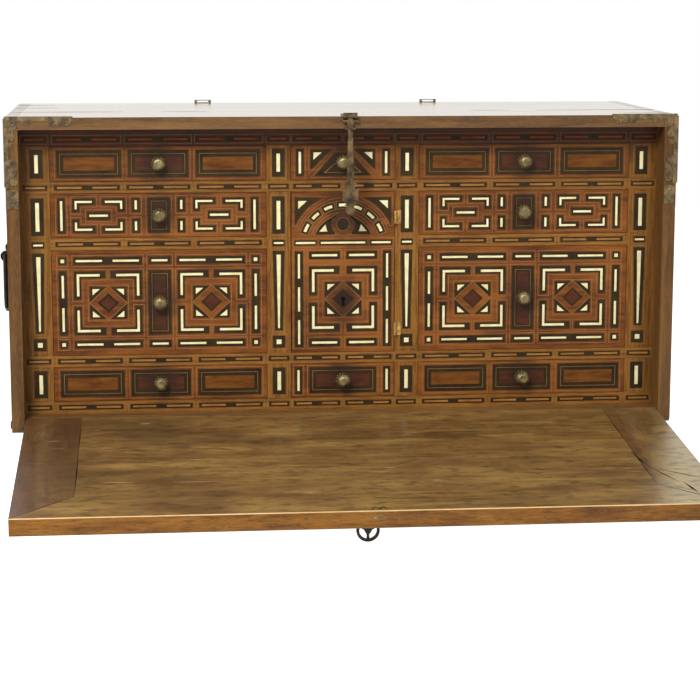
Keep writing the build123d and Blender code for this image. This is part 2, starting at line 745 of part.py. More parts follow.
def carrying_handle(direction):
    """A bail of round bar, swelling in the middle, its ends turned in through the eyes."""
    pivot_x = direction * (side_x + handle_stand)
    swing = Plane((pivot_x, 0, handle_height), x_dir=(0, 1, 0), z_dir=(-1, 0, 0))
    half = handle_span / 2 + eye_thick / 2 + handle_bar + 1.0
    bend = handle_corner * 0.3
    bow = (
        (half, handle_drop - handle_corner),
        (half - bend, handle_drop - bend),
        (half - handle_corner, handle_drop),
    )
    mirrored = [(-across, down) for across, down in reversed(bow)]
    with BuildPart() as handle:
        with BuildLine(swing) as route:
            Polyline((half, -handle_bar), *bow, *mirrored, (-half, -handle_bar))
        with BuildSketch(Plane(route.line @ 0, z_dir=route.line % 0)):
            RegularPolygon(handle_bar, 8)
        sweep(transition=Transition.RIGHT)
        for end in (-1, 1):
            with Locations(Location((pivot_x, end * (half - eye_thick), handle_height), (90, 0, 0))):
                Cylinder(handle_bar, 2 * eye_thick)
        with BuildSketch(Plane((pivot_x, 0, handle_height - handle_drop), z_dir=(0, 1, 0))):
            RegularPolygon(handle_swell, 8)
        extrude(amount=handle_swell * 3, both=True, taper=5)
    return handle.part


save("left_handle", carrying_handle(-1))
save("right_handle", carrying_handle(1))
save("handle_plates", *handle_eyes(-1), *handle_eyes(1))

# ---- Small staples on the rear edge of the top --------------------------------------------------
staples = []
for middle_x in back_staple_x:
    with BuildPart() as staple:
        with Locations((middle_x, rear_y - back_staple_bar, case_height + back_staple_height / 2)):
            Box(back_staple_width, back_staple_bar, back_staple_height)
            Box(
                back_staple_width - 2 * back_staple_bar,
                back_staple_bar,
                back_staple_height - back_staple_bar / 2,
                align=(Align.CENTER, Align.CENTER, Align.CENTER),
                mode=Mode.SUBTRACT,
            )
    staples.append(staple.part)
save("back_staples", *[solid for staple in staples for solid in staple.solids()])
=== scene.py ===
import bmesh
import bpy
from math import cos, pi, radians, sin
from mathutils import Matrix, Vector
from random import Random


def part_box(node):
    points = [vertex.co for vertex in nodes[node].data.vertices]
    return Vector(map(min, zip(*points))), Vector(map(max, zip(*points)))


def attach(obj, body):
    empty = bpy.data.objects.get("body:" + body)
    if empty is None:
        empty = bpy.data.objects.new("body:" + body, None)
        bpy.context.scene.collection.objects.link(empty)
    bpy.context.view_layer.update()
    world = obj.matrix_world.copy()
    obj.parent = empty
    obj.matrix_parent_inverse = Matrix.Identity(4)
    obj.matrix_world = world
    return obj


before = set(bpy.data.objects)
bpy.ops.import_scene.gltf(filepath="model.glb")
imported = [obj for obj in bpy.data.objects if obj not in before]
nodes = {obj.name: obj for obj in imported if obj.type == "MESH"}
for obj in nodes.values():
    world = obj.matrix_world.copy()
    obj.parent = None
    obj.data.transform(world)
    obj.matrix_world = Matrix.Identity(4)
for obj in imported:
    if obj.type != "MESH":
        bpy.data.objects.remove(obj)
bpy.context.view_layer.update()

scene = bpy.context.scene
scene.view_settings.view_transform = "Standard"

# ---- Table, floor and light --------------------------------------------------
# The chest stands on a plain pale table, narrower than the open fall, which hangs clear in front.
# Table, floor and backdrop are matt and off-white, and show as plain white.


def srgb(red, green, blue):
    """A colour given as 0 to 255 screen values, as the linear values that a shader takes."""
    linear = [((c / 255 + 0.055) / 1.055) ** 2.4 if c > 10 else c / 255 / 12.92 for c in (red, green, blue)]
    return (*linear, 1.0)


def surface(name):
    """A new material, its node tree and its shader."""
    material = bpy.data.materials.new(name)
    material.use_nodes = True
    tree = material.node_tree
    return material, tree, tree.nodes["Principled BSDF"]


def fill(tree, socket, value):
    """Puts a number or a colour into a socket, or links another node's output to it."""
    if isinstance(value, bpy.types.NodeSocket):
        tree.links.new(value, socket)
    else:
        socket.default_value = value


def join(tree, node, **sockets):
    """Fills a node's sockets by their names."""
    for label, value in sockets.items():
        fill(tree, node.inputs[label.replace("_", " ")], value)
    return node


def new_node(tree, kind, **sockets):
    """A new shader node of a kind, its sockets filled by their names."""
    return join(tree, tree.nodes.new(f"ShaderNode{kind}"), **sockets)


def calc(tree, operation, *values):
    """One sum on sockets or numbers."""
    node = new_node(tree, "Math")
    node.operation = operation
    for socket, value in zip(node.inputs, values):
        fill(tree, socket, value)
    return node.outputs[0]


def between(tree, value, low, high, start=0.0, end=1.0):
    """Value spread from low..high to start..end, clamped."""
    spread = new_node(tree, "MapRange", Value=value, From_Min=low, From_Max=high, To_Min=start, To_Max=end)
    return spread.outputs["Result"]


def seen_directly(tree):
    """1 for a ray from the camera, or one that a shiny or a clear surface sends on."""
    rays = new_node(tree, "LightPath").outputs
    first = calc(tree, "MAXIMUM", rays["Is Camera Ray"], rays["Is Transmission Ray"])
    return calc(tree, "MAXIMUM", first, rays["Is Glossy Ray"])


def white_surround(name, tint):
    """Matt off-white that is plain white where it is seen directly or mirrored in metal."""
    material, tree, shader = surface(name)
    join(
        tree, shader, Base_Color=tint, Roughness=0.9,
        Emission_Color=(1, 1, 1, 1), Emission_Strength=seen_directly(tree),
    )
    return material


def slab(name, low, high, material):
    """A stage block between two corners."""
    mesh = bpy.data.meshes.new(name)
    shape = bmesh.new()
    bmesh.ops.create_cube(shape, size=1.0)
    for vertex in shape.verts:
        vertex.co = [start + (place + 0.5) * (end - start) for place, start, end in zip(vertex.co, low, high)]
    shape.to_mesh(mesh)
    shape.free()
    block = bpy.data.objects.new(name, mesh)
    scene.collection.objects.link(block)
    mesh.materials.append(material)


pale = white_surround("pale_surround", srgb(226, 226, 222))
slab("table", (-0.42, -0.165, -0.30), (0.42, 0.19, 0.0), pale)
slab("floor", (-6.0, -6.0, -0.34), (6.0, 6.0, -0.30), pale)

world = bpy.data.worlds.new("studio")
world.use_nodes = True
scene.world = world
sky = world.node_tree
room_light = 0.28        # strength of the pale room round the chest, as the chest receives it
backdrop = between(sky, seen_directly(sky), 0.0, 1.0, room_light, 1.0)
join(sky, sky.nodes["Background"], Color=(1.0, 1.0, 1.0, 1.0), Strength=backdrop)


def softbox(name, place, aim, size, watts):
    """A square studio lamp that points from its place to its aim."""
    lamp = bpy.data.lights.new(name, "AREA")
    lamp.size = size
    lamp.energy = watts
    stand = bpy.data.objects.new(name, lamp)
    stand.location = place
    stand.rotation_euler = (Vector(aim) - Vector(place)).to_track_quat("-Z", "Y").to_euler()
    scene.collection.objects.link(stand)


softbox("key_lamp", (-1.1, -2.5, 2.1), (0.0, -0.15, 0.2), 0.8, 82)
softbox("fill_lamp", (1.7, -2.2, 2.0), (0.0, -0.1, 0.2), 1.6, 20)

focal_pixels = 2086.8
frame_pixels = 700
looks_down, leans, turns_right = 9.629, -0.054, -5.567   # degrees
view = bpy.data.cameras.new("view")
view.sensor_width = 36.0
view.lens = view.sensor_width * focal_pixels / frame_pixels
camera = bpy.data.objects.new("view", view)
camera.location = (-0.2946, -3.2874, 0.6452)
camera.rotation_euler = (radians(90 - looks_down), radians(leans), radians(turns_right))
scene.collection.objects.link(camera)
scene.camera = camera

# ---- Case --------------------------------------------------------------------
# Walnut boards, dovetailed at the corners. The grain of the top and bottom runs along the case and
# that of the sides runs upright. Age has turned the outside a dull olive brown with a waxed sheen.


def new_group(name, outputs, vectors=("Position",), colours=(), numbers=()):
    """A shader node group with named sockets, what it is given and its output node."""
    group = bpy.data.node_groups.new(name, "ShaderNodeTree")
    for kind, labels in (("Vector", vectors), ("Color", colours), ("Float", numbers)):
        for label in labels:
            group.interface.new_socket(label, in_out="INPUT", socket_type=f"NodeSocket{kind}")
    for label in outputs:
        kind = "Color" if label == "Color" else "Float"
        group.interface.new_socket(label, in_out="OUTPUT", socket_type=f"NodeSocket{kind}")
    return group, group.nodes.new("NodeGroupInput").outputs, group.nodes.new("NodeGroupOutput")


def noise(tree, source, scale, detail=4.0, rough=0.55, warp=0.0):
    """The value of a noise texture over a vector."""
    return new_node(
        tree, "TexNoise", Vector=source, Scale=scale, Detail=detail, Roughness=rough, Distortion=warp
    ).outputs["Fac"]


def axes(tree, vector):
    """The parts X, Y and Z of a vector."""
    return new_node(tree, "SeparateXYZ", Vector=vector).outputs


def stretched(tree, source, scale):
    """A vector with each of its axes scaled."""
    return new_node(tree, "Mapping", Vector=source, Scale=scale).outputs["Vector"]


def colour_mix(tree, share, first, second):
    """Two colours mixed by a share."""
    mix = new_node(tree, "Mix")
    mix.data_type = "RGBA"
    sockets = {socket.identifier: socket for socket in (*mix.inputs, *mix.outputs)}
    for label, value in (("Factor_Float", share), ("A_Color", first), ("B_Color", second)):
        fill(tree, sockets[label], value)
    return sockets["Result_Color"]


def layered(tree, colour, layers):
    """Lays tones over a colour, each by its mask times its strength."""
    for mask, strength, tone in layers:
        colour = colour_mix(tree, calc(tree, "MULTIPLY", mask, strength), colour, tone)
    return colour


def placed(tree, group, **values):
    """What a node group gives in a material, set there with its own values."""
    node = new_node(tree, "Group")
    node.node_tree = group
    return join(tree, node, **values).outputs


def own_place(tree):
    """The place on the piece itself."""
    return new_node(tree, "TexCoord").outputs["Object"]


def relief(tree, height, deep, **more):
    """The normal of a surface with this height, deep metres at most."""
    return new_node(tree, "Bump", Height=height, Distance=deep, **more).outputs["Normal"]


def make_wood_figure():
    """Wood seen close: flowing growth bands, fine fibres, dark open pores and uneven old colour."""
    group, given, result = new_group(
        "wood_figure", ("Color", "Roughness", "Height"), ("Vector",), ("Dark", "Middle", "Light"),
        ("Blotch", "Streaks"),
    )
    along = given["Vector"]
    bands = between(group, noise(group, along, 9.0, 3.0, 0.5, 0.6), 0.34, 0.66)
    fibres = noise(group, along, 90.0, 4.0, 0.6)
    pores = between(group, noise(group, along, 190.0, 2.0, 0.6), 0.60, 0.70)
    streaks = between(group, noise(group, along, 26.0, 5.0, 0.6, 0.8), 0.50, 0.66)
    patches = noise(group, along, 2.2, 3.0, 0.55, 0.4)
    colour = layered(group, colour_mix(group, bands, given["Dark"], given["Middle"]), (
        (between(group, fibres, 0.45, 0.75), 0.5, given["Light"]),
        (between(group, patches, 0.42, 0.68), given["Blotch"], given["Light"]),
        (streaks, given["Streaks"], given["Dark"]),
        (pores, 0.45, given["Dark"]),
    ))
    uneven = between(group, patches, 0.3, 0.7, -0.06, 0.06)
    join(group, result, Color=colour, Roughness=uneven, Height=calc(group, "SUBTRACT", fibres, pores))
    return group


wood_figure = make_wood_figure()
fibre_depth = 0.00012
wax_roughness = 0.25


def wood(name, stretch, colours, blotch=0.5, streaks=0.4, gloss=0.42, coat=0.0, specular=0.5):
    """Wood of three screen colours, its fibres along the axis that has the smallest stretch."""
    material, tree, shader = surface(name)
    dark, middle, light = (srgb(*colour) for colour in colours)
    grain = stretched(tree, own_place(tree), stretch)
    figure = placed(
        tree, wood_figure, Vector=grain, Dark=dark, Middle=middle, Light=light, Blotch=blotch, Streaks=streaks
    )
    join(
        tree, shader, Base_Color=figure["Color"],
        Normal=relief(tree, figure["Height"], fibre_depth, Strength=0.6),
        Roughness=calc(tree, "ADD", figure["Roughness"], gloss), Specular_IOR_Level=specular,
        Coat_Weight=coat, Coat_Roughness=wax_roughness,
    )
    return material


def dress(material, *names):
    """One finish on CAD nodes."""
    for name in names:
        mesh = nodes[name].data
        mesh.materials.clear()
        mesh.materials.append(material)
        mesh.polygons.foreach_set("material_index", [0] * len(mesh.polygons))


along_case = (0.9, 9.0, 9.0)
upright = (9.0, 9.0, 0.9)
outside = ((76, 50, 24), (114, 78, 40), (144, 106, 58))
pine_tones = ((120, 84, 50), (168, 126, 80), (190, 150, 100))
pine = wood("old_pine", along_case, pine_tones, gloss=0.7)
dress(wood("case_walnut_long", along_case, outside, coat=0.05, specular=0.3), "bottom_board")
dress(pine, "back_board")

# ---- Top ---------------------------------------------------------------------
# Two planks meet in an open joint behind the front edge. Their upper face is bleached and rubbed, and
# its wax shines at a low angle; its pale tone is partly bleached wood and partly painted sheen. Short
# splits run in from both ends, where the dovetails hold it.
top_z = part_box("top_rear_plank")[1].z


def make_bleach_and_sheen():
    """Sun, water and painted sheen on a board: pale streaks on what faces up, nothing on what faces sideways.
    """
    group, given, result = new_group("bleach_and_sheen", ("Bleach", "Upward"), ("Position", "Normal"))
    streaks = noise(group, stretched(group, given["Position"], (1.5, 14.0, 1.0)), 6.0, 6.0)
    upward = between(group, axes(group, given["Normal"])["Z"], 0.6, 0.95)
    bleach_sheen = calc(group, "MULTIPLY", between(group, streaks, 0.3, 0.7, 0.4, 0.9), upward)
    join(group, result, Bleach=bleach_sheen, Upward=upward)
    return group


bleach_and_sheen = make_bleach_and_sheen()


def finish_of(material):
    """A material's node tree, its shader, and what gives its colour."""
    tree = material.node_tree
    shader = tree.nodes["Principled BSDF"]
    return tree, shader, shader.inputs["Base Color"].links[0].from_socket


def bleached_with_sheen(material, pale, polish=1.0, specular=0.3):
    """Pales what faces up on a board, partly as bleached wood and partly as painted sheen, and gives it a
    rubbed polish.
    """
    tree, shader, under = finish_of(material)
    place = new_node(tree, "TexCoord").outputs
    bleach_sheen = placed(tree, bleach_and_sheen, Position=place["Object"], Normal=place["Normal"])
    join(
        tree, shader, Base_Color=colour_mix(tree, bleach_sheen["Bleach"], under, pale), Specular_IOR_Level=specular,
        Coat_Weight=between(tree, bleach_sheen["Upward"], 0.0, 1.0, 0.05, polish), Coat_Roughness=0.16,
    )
    return material


def end_faces(name, material, axis, from_place, to_place=0.0):
    """Gives a board's end grain its own wood: the faces along an axis, beyond or below a place."""
    mesh = nodes[name].data
    mesh.materials.append(material)
    for face in mesh.polygons:
        place = abs(face.center[axis])
        if abs(face.normal[axis]) > 0.9 and (place > from_place or place < to_place):
            face.material_index = len(mesh.materials) - 1


# The pale tones given below to what faces up are partly bleached wood and partly painted sheen.
top_wood = bleached_with_sheen(wood("top_walnut", along_case, outside, gloss=0.30, coat=1.0), srgb(174, 148, 90), 0.9)
dress(top_wood, "top_front_plank", "top_rear_plank")
side_wood = wood("side_walnut", upright, outside, gloss=0.34, coat=0.05)
dress(bleached_with_sheen(side_wood, srgb(166, 150, 96), specular=0.15), "left_side", "right_side")
end_tones = ((44, 28, 14), (78, 52, 28), (104, 74, 44))
end_grain = wood("end_grain_walnut", (26.0, 26.0, 26.0), end_tones, gloss=0.5)
bleached_with_sheen(end_grain, srgb(140, 122, 72), 0.8, 0.15)
plank_end = 0.49         # past this place along a plank, and past these on a side board, is end grain
side_top, side_foot = 0.46, 0.01
for name in ("top_front_plank", "top_rear_plank", "bottom_board"):
    end_faces(name, end_grain, 0, plank_end)
for name in ("left_side", "right_side"):
    end_faces(name, end_grain, 2, side_top, side_foot)


def prism(shape, top, bottom):
    """A closed solid between two rings of points. The top ring runs anticlockwise, seen from above it."""
    upper = [shape.verts.new(point) for point in top]
    lower = [shape.verts.new(point) for point in bottom]
    faces = [shape.faces.new(upper), shape.faces.new(list(reversed(lower)))]
    for i in range(len(upper)):
        j = (i + 1) % len(upper)
        faces.append(shape.faces.new((upper[j], upper[i], lower[i], lower[j])))
    return faces


def finished(name, shape, materials, body):
    """Makes the built shape a piece that rides on its body."""
    mesh = bpy.data.meshes.new(name)
    shape.to_mesh(mesh)
    shape.free()
    for material in materials:
        mesh.materials.append(material)
    piece = bpy.data.objects.new(name, mesh)
    scene.collection.objects.link(piece)
    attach(piece, body)


def make_split_dark():
    """The dark and the dust inside an open joint."""
    material, tree, shader = surface("split_dark")
    dust = between(tree, noise(tree, own_place(tree), 60.0), 0.35, 0.65)
    dusty = colour_mix(tree, dust, srgb(22, 15, 9), srgb(52, 38, 22))
    join(tree, shader, Base_Color=dusty, Roughness=0.9, Specular_IOR_Level=0.1)
    return material


split_dark = make_split_dark()
split_rise = 0.00012
ribbon_sink = 0.0004     # how deep a dark ribbon is let into its board
joint_y = -0.0586        # where the two planks meet


def split(name, *points):
    """A dark split in the top: a tapering ribbon through places x, y and their widths."""
    shape = bmesh.new()
    halves = [(x, y, max(0.75 * wide, 0.0001)) for x, y, wide in points]
    near = [(x, y - half) for x, y, half in halves]
    ring = near + [(x, y + half) for x, y, half in reversed(halves)]
    top = [(x, y, top_z + split_rise) for x, y in ring]
    prism(shape, top, [(x, y, top_z - ribbon_sink) for x, y in ring])
    finished(name, shape, [split_dark], "case")


split(
    "joint_split_left", (-0.498, -0.06, 0.0), (-0.455, -0.0585, 0.002), (-0.425, joint_y, 0.0034),
    (-0.375, -0.0588, 0.002), (-0.33, joint_y, 0.0),
)
split("joint_split_left_2", (-0.27, joint_y, 0.0), (-0.24, joint_y, 0.0014), (-0.2, joint_y, 0.0))
split(
    "joint_split_right", (0.31, joint_y, 0.0), (0.36, joint_y, 0.0022), (0.42, -0.0588, 0.0034),
    (0.498, -0.0592, 0.003),
)
split("joint_split_right_2", (0.205, joint_y, 0.0), (0.235, joint_y, 0.002), (0.27, joint_y, 0.0))
split("end_split_right", (0.43, -0.148, 0.0), (0.46, -0.15, 0.002), (0.499, -0.152, 0.003))
split("end_split_left", (-0.499, 0.06, 0.003), (-0.46, 0.063, 0.0016), (-0.43, 0.064, 0.0))
split("end_split_left_2", (-0.499, 0.14, 0.004), (-0.47, 0.142, 0.0016), (-0.44, 0.143, 0.0))

# ---- Nest --------------------------------------------------------------------
# Shelves, rails and pilaster strips of the drawer nest. Their edges are faced with golden walnut and
# the drawer fronts with red-brown walnut, darkened by hands round each knob. Hidden parts are pine.
face_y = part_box("pilasters")[0].y
bank_middle = 0.277      # knobs stand in three columns: on the middle, and this far to both sides
grime_reach = 0.034
rows = ("top", "upper", "middle", "bottom")
knob_rows = [round(sum(corner.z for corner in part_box(f"left_{row}_knob")) / 2, 4) for row in rows]


def make_handled():
    """Grime that hands leave round a knob: 1 at the knob, 0 a hand's breadth away."""
    group, given, result = new_group("handled", ("Grime",))
    place = axes(group, given["Position"])

    def away(value, middle):
        return calc(group, "ABSOLUTE", calc(group, "SUBTRACT", value, middle))

    def squared(value):
        return calc(group, "MULTIPLY", value, value)

    across = away(place["X"], 0.0)
    nearest_x = calc(group, "MINIMUM", across, away(across, bank_middle))
    nearest_z = away(place["Z"], knob_rows[0])
    for row in knob_rows[1:]:
        nearest_z = calc(group, "MINIMUM", nearest_z, away(place["Z"], row))
    nearest_z = calc(group, "MULTIPLY", nearest_z, 0.75)    # it reaches further up and down
    distance = calc(group, "SQRT", calc(group, "ADD", squared(nearest_x), squared(nearest_z)))
    ragged = calc(group, "SUBTRACT", noise(group, given["Position"], 45.0), 0.5)
    distance = calc(group, "ADD", distance, calc(group, "MULTIPLY", ragged, 0.03))
    share = calc(group, "DIVIDE", distance, grime_reach)
    join(group, result, Grime=between(group, share, 0.35, 1.0, 1.0, 0.0))
    return group


handled = make_handled()


def make_soot_and_shade():
    """Soot and painted shade, darkest in the nest's upper and outer corners, and large paler patches where
    light has bleached it.
    """
    group, given, result = new_group("soot_and_shade", ("Smoke", "Fade"))
    place = axes(group, given["Position"])
    left_end = between(group, place["X"], -0.444, -0.474, 0.0, 0.6)
    right_end = between(group, place["X"], 0.450, 0.480, 0.0, 0.5)
    high = between(group, place["Z"], 0.29, 0.44, 0.0, 0.62)
    corners = calc(group, "MAXIMUM", calc(group, "MAXIMUM", left_end, right_end), high)
    uneven = between(group, noise(group, given["Position"], 11.0, 3.0), 0.35, 0.65, 0.5, 1.1)
    patches = between(group, noise(group, given["Position"], 8.0, 3.0, 0.55, 0.5), 0.46, 0.68)
    join(group, result, Smoke=calc(group, "MULTIPLY", corners, uneven), Fade=patches)
    return group


soot_and_shade = make_soot_and_shade()


def aged(material, hands, soot_shade, fade=0.0):
    """Lays the hands' grime, sooty dirt with painted shade, and the bleached patches over a wood's colour."""
    tree, shader, colour = finish_of(material)
    place = own_place(tree)
    soot_shade_fade = placed(tree, soot_and_shade, Position=place)
    grime = placed(tree, handled, Position=place)
    # The second layer is painted shade mixed with sooty dirt, darkest under the top and beside the sides.
    layers = (
        (soot_shade_fade["Fade"], fade, srgb(172, 104, 44)),
        (soot_shade_fade["Smoke"], soot_shade, srgb(46, 27, 19)),
        (grime["Grime"], hands, srgb(42, 30, 22)),
    )
    join(tree, shader, Base_Color=layered(tree, colour, [layer for layer in layers if layer[1]]))
    return material


golden = ((88, 52, 18), (140, 91, 34), (172, 121, 50))
red_brown = ((66, 33, 14), (108, 58, 25), (154, 92, 36))
shaded = ((44, 22, 14), (74, 40, 24), (104, 60, 32))
along_rail = (4.0, 40.0, 40.0)
# Rails, posts and fronts darken toward the nest's upper and outer corners: sooty dirt and painted shade.
rail_wood = aged(wood("golden_walnut_rails", along_rail, golden, specular=0.15), 0.3, 0.8)
post_wood = aged(wood("golden_walnut_posts", (40.0, 40.0, 4.0), golden, specular=0.15), 0.0, 0.85)
front_wood = wood("red_walnut_fronts", (5.0, 40.0, 40.0), red_brown, blotch=0.6, specular=0.15)
aged(front_wood, 0.75, 0.65, 0.4)
# The top rail gets a darker copy of the rail walnut: painted shade under the overhanging top board.
shade_wood = wood("shaded_walnut", along_rail, shaded, specular=0.2)
dress(rail_wood, "nest_floor", "long_shelves", "middle_shelves")
dress(shade_wood, "top_rail")
dress(post_wood, "pilasters")
dress(pine, "drawer_guides")

# ---- Inlay -------------------------------------------------------------------
# Every front, rail and pilaster is inlaid flush: bars, corners and triangles of bone in fields of
# ebonised wood, each field edged with a hair line of pale string, and dashes of orange wood.
# Layers lie a twentieth of a millimetre over each other, as a scraped and waxed surface shows them.
line_gap = 2.3           # from a field to its hair line
line_wide = 0.7
inlay_specular = 0.13


def make_fine_figure():
    """The close, even figure of a small piece of wood or bone, mixed from two tones."""
    outputs, colours = ("Color", "Figure"), ("Dark", "Light")
    group, given, result = new_group("fine_figure", outputs, ("Vector",), colours, ("Scale",))
    clear = between(group, noise(group, given["Vector"], given["Scale"], 5.0, 0.6, 0.3), 0.3, 0.7)
    join(group, result, Color=colour_mix(group, clear, given["Dark"], given["Light"]), Figure=clear)
    return group


fine_figure = make_fine_figure()


def inlay_wood(name, dark, light, stretch=(1, 1, 1), rough=0.42, coat=0.0, hands=0.0, soot_shade=0.0, tone=30.0):
    """One of the small woods of the inlay, or its bone."""
    material, tree, shader = surface(name)
    grain = stretched(tree, own_place(tree), stretch)
    figure = placed(tree, fine_figure, Vector=grain, Dark=srgb(*dark), Light=srgb(*light), Scale=tone)
    join(
        tree, shader, Base_Color=figure["Color"], Normal=relief(tree, figure["Figure"], 0.0001),
        Roughness=between(tree, figure["Figure"], 0, 1, rough + 0.08, rough - 0.05),
        Coat_Weight=coat, Specular_IOR_Level=inlay_specular,
    )
    return aged(material, hands, soot_shade) if hands or soot_shade else material


long_figure = {"stretch": (2, 9, 9), "tone": 14.0}
pale_string = inlay_wood("pale_string", (130, 90, 50), (168, 126, 76), rough=0.45, hands=0.5, soot_shade=0.6)
ebonised = inlay_wood("ebonised_wood", (34, 24, 11), (60, 45, 22), (1, 3, 1), hands=0.4)
bone = inlay_wood("bone", (230, 214, 146), (252, 244, 204), rough=0.35, coat=0.2, tone=70.0)
orange_wood = inlay_wood("orange_wood", (80, 42, 13), (130, 80, 30), soot_shade=0.25, **long_figure)
bright_orange = inlay_wood("bright_orange_wood", (130, 84, 38), (178, 126, 70), soot_shade=0.3, **long_figure)
brick_wood = inlay_wood("brick_red_wood", (120, 52, 26), (160, 76, 38), **long_figure)
dark_red_wood = inlay_wood("dark_red_wood", (62, 32, 20), (94, 50, 30), hands=0.6, soot_shade=0.3, **long_figure)
# A near-black wood for the door's keyhole: painted shade where the inlay covers the hole.
keyhole_painted_shade = inlay_wood("keyhole_painted_shade", (8, 6, 5), (18, 14, 10), (1, 3, 1), rough=0.9)

# Each kind of piece: its layer, counted from the face, and its wood. None is the wood of the front itself.
layer_thick = 0.00005
inlay_kinds = {
    "line": (1, pale_string), "ground": (2, None), "ebony": (3, ebonised), "thread": (4, pale_string),
    "field": (5, ebonised), "red_ground": (5, None), "bone": (6, bone), "orange": (6, orange_wood),
    "red": (6, dark_red_wood), "bright": (6, bright_orange), "brick": (6, brick_wood),
    "ebony_top": (6, ebonised), "red_top": (7, dark_red_wood), "keyhole": (8, keyhole_painted_shade),
}
inlay_woods = list(dict.fromkeys(material for layer, material in inlay_kinds.values() if material))
bed_depth = 0.0001       # the pieces' lower side, behind the face
quarters = ((-1, -1), (1, -1), (1, 1), (-1, 1))


def facing(outline):
    """The outline, turned to run anticlockwise."""
    area = sum(a[0] * b[1] - b[0] * a[1] for a, b in zip(outline, outline[1:] + outline[:1]))
    return list(outline) if area > 0 else list(reversed(outline))


def grown(outline, amount):
    """The outline with every side moved out by amount."""
    outline = facing(outline)
    moved = []
    for before, here, after in zip(outline[-1:] + outline[:-1], outline, outline[1:] + outline[:1]):
        one = (Vector(here) - Vector(before)).normalized()
        two = (Vector(after) - Vector(here)).normalized()
        spread = Vector((one.y + two.y, -one.x - two.x))
        reach = amount / max(0.3, spread.length_squared / 2)
        moved.append((here[0] + spread.x * reach, here[1] + spread.y * reach))
    return moved


def mirrored(outline, side):
    """The outline of a piece on the right, for side 1, or the same on the left, for side -1."""
    return [(side * x, z) for x, z in outline]


def block(x, z, wide, tall):
    """A rectangle round its centre, in millimetres."""
    return [(x + sx * wide / 2, z + sz * tall / 2) for sx, sz in quarters]


def diamond(x, z, reach_x, reach_z):
    """A lozenge round its centre."""
    return [(x, z - reach_z), (x + reach_x, z), (x, z + reach_z), (x - reach_x, z)]


def field(outline):
    """A field of ebonised wood with its hair line round it."""
    line = grown(outline, line_gap + line_wide)
    return [("line", line), ("ground", grown(outline, line_gap)), ("ebony", outline)]


def bar(x, z, wide, tall, bone_wide, bone_tall):
    """A bone bar in its ebonised field."""
    return field(block(x, z, wide, tall)) + [("bone", block(x, z, bone_wide, bone_tall))]


def corner(x, z, to_x, to_z, thick, bone_thick, margin, end=1.9):
    """An L of bone in an ebonised L: its outer corner at x, z, its arms reaching to to_x and to_z."""
    sx = 1 if to_x > x else -1
    sz = 1 if to_z > z else -1

    def ell(ax, az, bx, bz, t):
        in_x, in_z = ax + sx * t, az + sz * t
        return [(ax, az), (bx, az), (bx, in_z), (in_x, in_z), (in_x, bz), (ax, bz)]

    end_x, end_z = to_x - sx * margin * end, to_z - sz * margin * 1.2
    inner = ell(x + sx * margin, z + sz * margin, end_x, end_z, bone_thick)
    return field(ell(x, z, to_x, to_z, thick)) + [("bone", inner)]


def framed_panel(x, z, wide, tall, kind, rim=10.6):
    """An ebonised frame with a hair line in it, round a panel of plain wood inside its rim."""

    def inset(by):
        return block(x, z, wide - 2 * by, tall - 2 * by)

    return field(inset(0)) + [("thread", inset(5.0)), ("field", inset(5.6)), (kind, inset(rim))]


def star(x, z, half_x, half_z, middle):
    """A square with bone in its four corners and a lozenge in the middle."""
    pieces = field(block(x, z, 2 * half_x, 2 * half_z))
    pieces += [("thread", diamond(x, z, half_x + 1.2, half_z + 2.2))]
    pieces += [("red_ground", diamond(x, z, half_x, half_z + 1.2))]
    tip = ((half_x - 4, half_z - 3.2), (half_x - 15, half_z - 3.2), (half_x - 4, half_z - 12.5))
    for sx, sz in quarters:
        pieces += [("bone", [(x + sx * across, z + sz * up) for across, up in tip])]
    return pieces + [("ebony_top", diamond(x, z, middle, middle - 1.0))]


def inlay(name, body, origin, pieces, ground):
    """Cuts and lays one front's inlay: thin flat pieces, standing on the face by their layer."""
    shape = bmesh.new()
    finishes = [ground] + inlay_woods
    for kind, outline in pieces:
        layer, material = inlay_kinds[kind]
        ring = [((x + origin[0]) / 1000, (z + origin[1]) / 1000) for x, z in facing(outline)]
        front = [(x, face_y - layer * layer_thick, z) for x, z in ring]
        for face in prism(shape, front, [(x, face_y + bed_depth, z) for x, z in ring]):
            face.material_index = finishes.index(material or ground)
    finished(name, shape, finishes, body)


def middle_of(node):
    """The centre of a node's front, in millimetres."""
    low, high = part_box(node)
    return (low.x + high.x) * 500, (low.z + high.z) * 500


# All patterns are in millimetres from the middle of their front.
# The shallow drawers at the top and the bottom: three framed panels, the middle one darker.
shallow = []
for x, wide, kind in ((-103, 96, "orange"), (0, 90, "red"), (104, 96, "orange")):
    shallow += framed_panel(x, 0, wide, 40.5, kind)

# The upper drawers: a bar at each end, two mazes, four short bars and a dark panel for the knob.
upper = framed_panel(0, 0, 33, 53, "red", 8.6)
for middle in (-89.7, 90.2):
    for sx, sz in quarters:
        upper += corner(middle + sx * 39, sz * 26, middle + sx * 5, sz * 5.5, 10.2, 3.0, 3.7, 1.3)
    upper += bar(middle, 0, 34, 12.4, 27.5, 3.2)
for x in (-145, 143.5):
    upper += bar(x, 0, 11.6, 53, 3.4, 44.5)
for x in (-34.3, 33.6):
    for z in (-15.8, 15.8):
        upper += bar(x, z, 12, 21.5, 3.3, 13.5)

